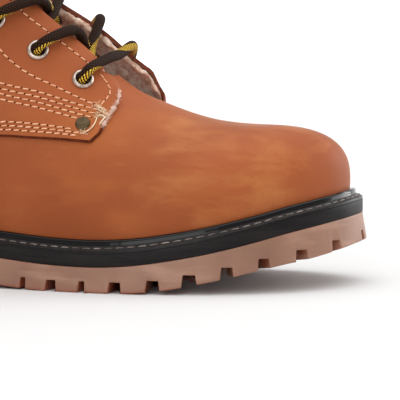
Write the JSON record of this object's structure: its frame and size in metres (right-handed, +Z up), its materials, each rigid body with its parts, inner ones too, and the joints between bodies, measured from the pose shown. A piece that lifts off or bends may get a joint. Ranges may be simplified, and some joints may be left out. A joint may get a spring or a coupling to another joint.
{
  "type": "winter boot",
  "caption": "Ankle-high lace-up winter boot for the right foot, plain toe, quarters lapped over the vamp, round eyelets, fleece lining, black welt and lugged gum outsole.",
  "frame": {"origin": "on the floor, under the middle of the heel", "axes": "+X towards the toe, +Y towards the inner side of the foot, +Z up"},
  "size_m": [0.308, 0.1136, 0.1995],
  "materials": {
    "gum_rubber": "satin",
    "black_rubber": "satin",
    "black_welt": "gloss",
    "nubuck": "matte",
    "felt": "matte",
    "pewter": "satin",
    "dark_brass": "satin",
    "lace": "matte"
  },
  "bodies": {
    "root": {"outsole": "gum_rubber", "midsole": "black_rubber", "welt": "black_welt", "insole": "felt", "upper": "nubuck", "tongue": "nubuck", "eyelet_lateral_1": "pewter", "eyelet_lateral_2": "pewter", "eyelet_lateral_3": "pewter", "eyelet_lateral_4": "pewter", "eyelet_lateral_5": "pewter", "eyelet_lateral_6": "pewter", "eyelet_medial_1": "pewter", "eyelet_medial_2": "pewter", "eyelet_medial_3": "pewter", "eyelet_medial_4": "pewter", "eyelet_medial_5": "pewter", "eyelet_medial_6": "pewter", "rivet_lateral": "dark_brass", "rivet_medial": "dark_brass", "lace_bar": "lace", "lace_crossing_1": "lace", "lace_crossing_2": "lace", "lace_crossing_3": "lace", "lace_crossing_4": "lace", "lace_crossing_5": "lace"}
  },
  "joints": []
}
